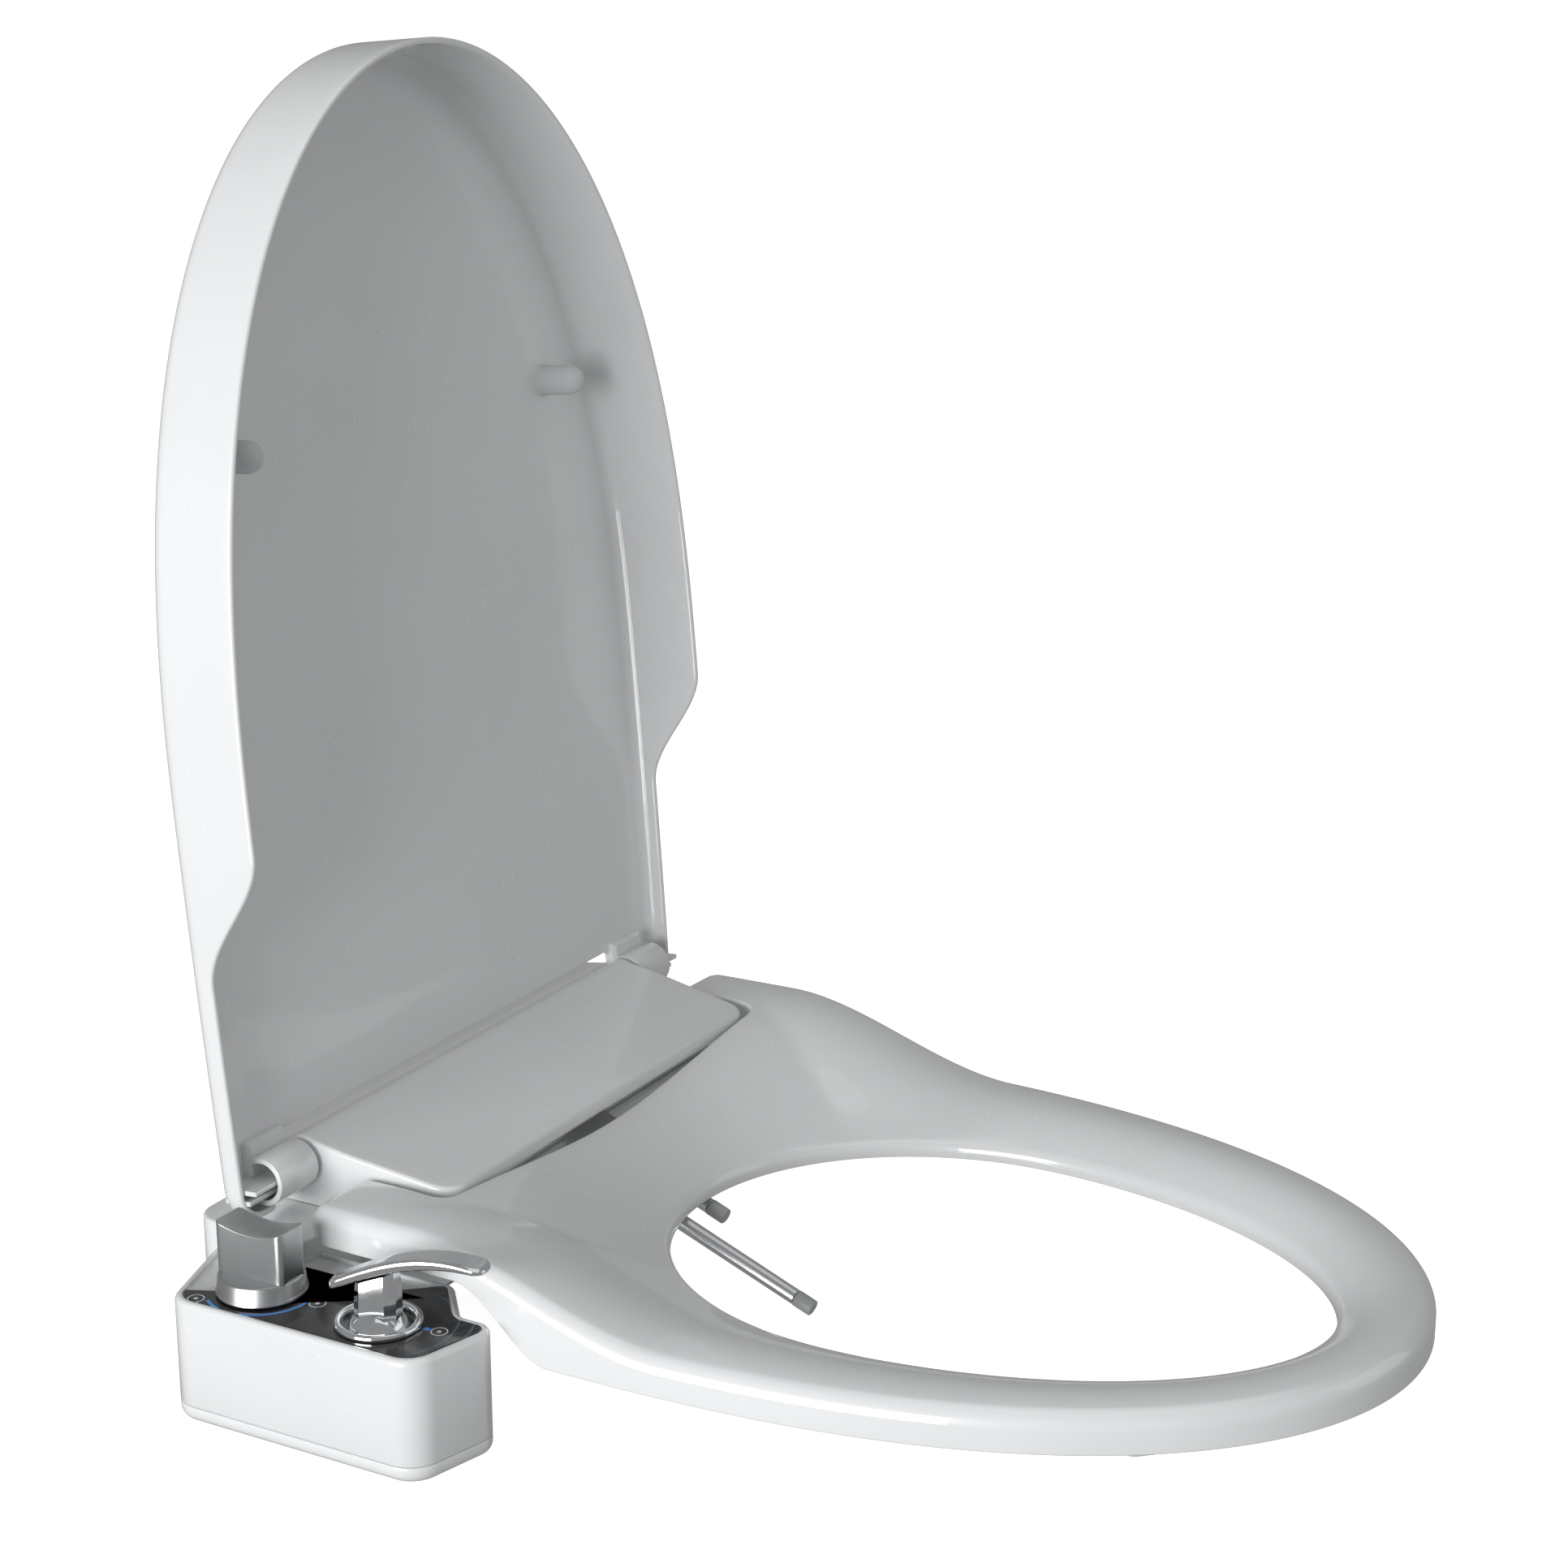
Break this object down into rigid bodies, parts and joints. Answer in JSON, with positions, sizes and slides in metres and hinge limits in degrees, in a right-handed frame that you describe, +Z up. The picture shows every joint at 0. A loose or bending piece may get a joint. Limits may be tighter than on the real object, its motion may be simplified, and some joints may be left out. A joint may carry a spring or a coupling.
{
  "type": "bidet seat",
  "caption": "Elongated bidet toilet seat with a deep-skirted lid, open seat ring, rear base with sliding nozzles, and a side control box with a knob and a lever.",
  "frame": {"origin": "on the bowl deck, at the bottom face of the mounting plate, straight below the lid's hinge axis and midway between the two bolts", "axes": "+Z up, the seat points along -Y, the control box is on the -X side"},
  "size_m": [0.422, 0.548, 0.6128],
  "materials": {
    "white_gloss": "glossy white moulded plastic",
    "grey_plastic": "matt grey plastic",
    "satin_grey": "satin silver-grey plastic",
    "black_glass": "glossy black panel",
    "chrome": "polished chrome",
    "steel": "brushed stainless steel",
    "brass": "turned brass",
    "pale_rubber": "soft pale rubber",
    "tubing": "milky flexible tubing"
  },
  "bodies": {
    "base": {"base_cover": "white_gloss", "base_housing": "white_gloss", "base_bottom_plate": "grey_plastic", "mounting_plate": "grey_plastic", "mounting_bolt_left": "grey_plastic", "mounting_bolt_right": "grey_plastic", "mounting_washer_left": "pale_rubber", "mounting_washer_right": "pale_rubber", "mounting_nut_left": "grey_plastic", "mounting_nut_right": "grey_plastic", "base_screw_1": "steel", "base_screw_2": "steel", "base_screw_3": "steel", "base_screw_4": "steel", "lid_damper_left": "steel", "lid_damper_right": "steel", "seat_pin_left": "steel", "seat_pin_right": "steel", "nozzle_guide": "grey_plastic", "control_box_shell": "white_gloss", "control_box_pan": "white_gloss", "pan_screw_1": "steel", "pan_screw_2": "steel", "pan_screw_3": "steel", "control_panel": "black_glass", "lever_bezel": "chrome", "mixing_valve": "brass", "flow_valve": "brass", "valve_link_pipe": "brass", "water_inlet_cold": "steel", "water_inlet_warm": "steel", "inlet_hose_cold": "tubing", "inlet_hose_warm": "tubing", "nozzle_hose_front": "tubing", "nozzle_hose_rear": "tubing"},
    "lid": {"lid_shell": "white_gloss", "lid_bumper_left": "pale_rubber", "lid_bumper_right": "pale_rubber"},
    "seat": {"seat_shell": "white_gloss", "seat_base_plate": "white_gloss", "seat_bumper_rear_left": "pale_rubber", "seat_bumper_rear_right": "pale_rubber", "seat_bumper_front_left": "pale_rubber", "seat_bumper_front_right": "pale_rubber"},
    "knob": {"temperature_knob": "satin_grey", "knob_spindle": "brass"},
    "lever": {"lever_dome": "chrome", "lever_stem": "chrome", "lever_blade": "chrome", "lever_spindle": "brass"},
    "rear_nozzle": {"rear_nozzle_tube": "steel", "rear_nozzle_tip": "grey_plastic"},
    "front_nozzle": {"front_nozzle_tube": "steel", "front_nozzle_tip": "grey_plastic"},
    "button": {"release_button": "grey_plastic"}
  },
  "joints": [
    {"name": "lid_hinge", "type": "hinge", "parent": "base", "child": "lid", "pos_m": [0, 0, 0.058], "axis": [-1, 0, 0], "range_deg": [-97.5, 0]},
    {"name": "seat_hinge", "type": "hinge", "parent": "base", "child": "seat", "pos_m": [0, -0.04, 0.047], "axis": [-1, 0, 0], "range_deg": [0, 100]},
    {"name": "knob_turn", "type": "hinge", "parent": "base", "child": "knob", "pos_m": [-0.206, -0.027, 0.026], "axis": [0, 0, 1], "range_deg": [-90, 90]},
    {"name": "lever_turn", "type": "hinge", "parent": "base", "child": "lever", "pos_m": [-0.2075, -0.0915, 0.026], "axis": [0, 0, -1], "range_deg": [0, 60]},
    {"name": "rear_nozzle_slide", "type": "slide", "parent": "base", "child": "rear_nozzle", "axis": [0, 0.9298, 0.3681], "range_m": [0, 0.066]},
    {"name": "front_nozzle_slide", "type": "slide", "parent": "base", "child": "front_nozzle", "axis": [0, -0.9298, -0.3681], "range_m": [0, 0.066], "stiffness_N_per_m": 20, "springref_m": -0.02},
    {"name": "release_press", "type": "slide", "parent": "base", "child": "button", "axis": [-1, 0, 0], "range_m": [0, 0.004], "stiffness_N_per_m": 400, "springref_m": -0.001}
  ]
}
